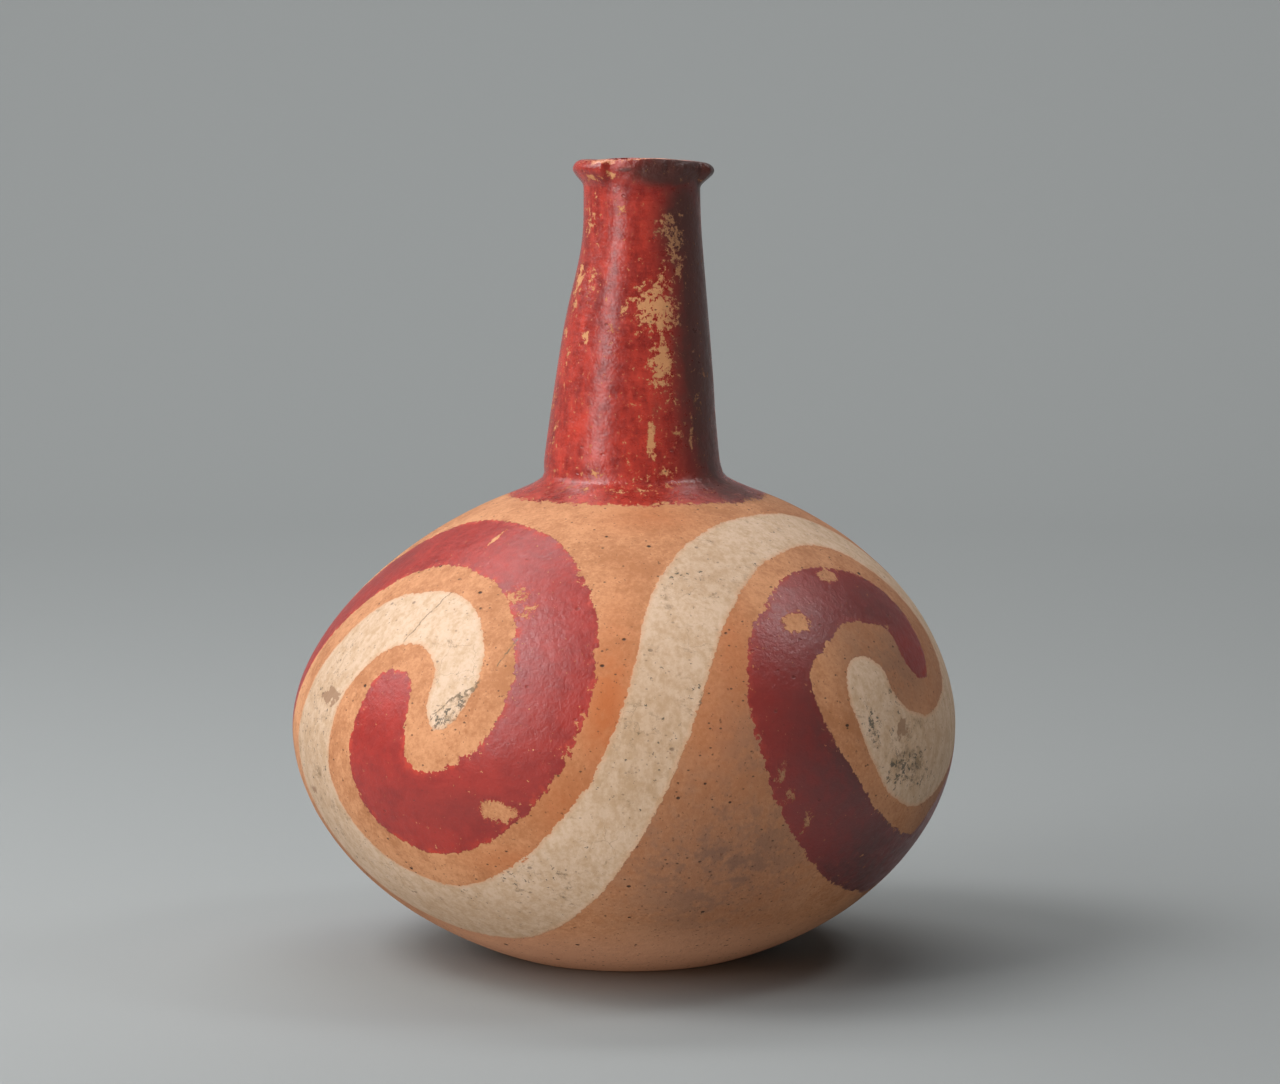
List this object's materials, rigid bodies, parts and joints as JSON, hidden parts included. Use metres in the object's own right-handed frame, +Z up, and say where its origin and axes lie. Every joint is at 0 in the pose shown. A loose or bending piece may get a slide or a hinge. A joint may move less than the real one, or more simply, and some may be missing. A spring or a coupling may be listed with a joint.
{
  "type": "pottery bottle",
  "caption": "Round-bodied pottery bottle with a tall tapering neck, a rolled worn lip and an open mouth, painted with broad scrolls in red and white slip.",
  "frame": {"origin": "on the table, under the middle of the body's widest ring", "axes": "+Z up through the mouth, -Y towards the viewer of the picture, +X to the right"},
  "size_m": [0.2049, 0.2048, 0.245],
  "materials": {
    "slipped_earthenware": "matt fired clay with burnished red slip and chalky white slip"
  },
  "bodies": {
    "root": {"bottle": "slipped_earthenware"}
  },
  "joints": []
}
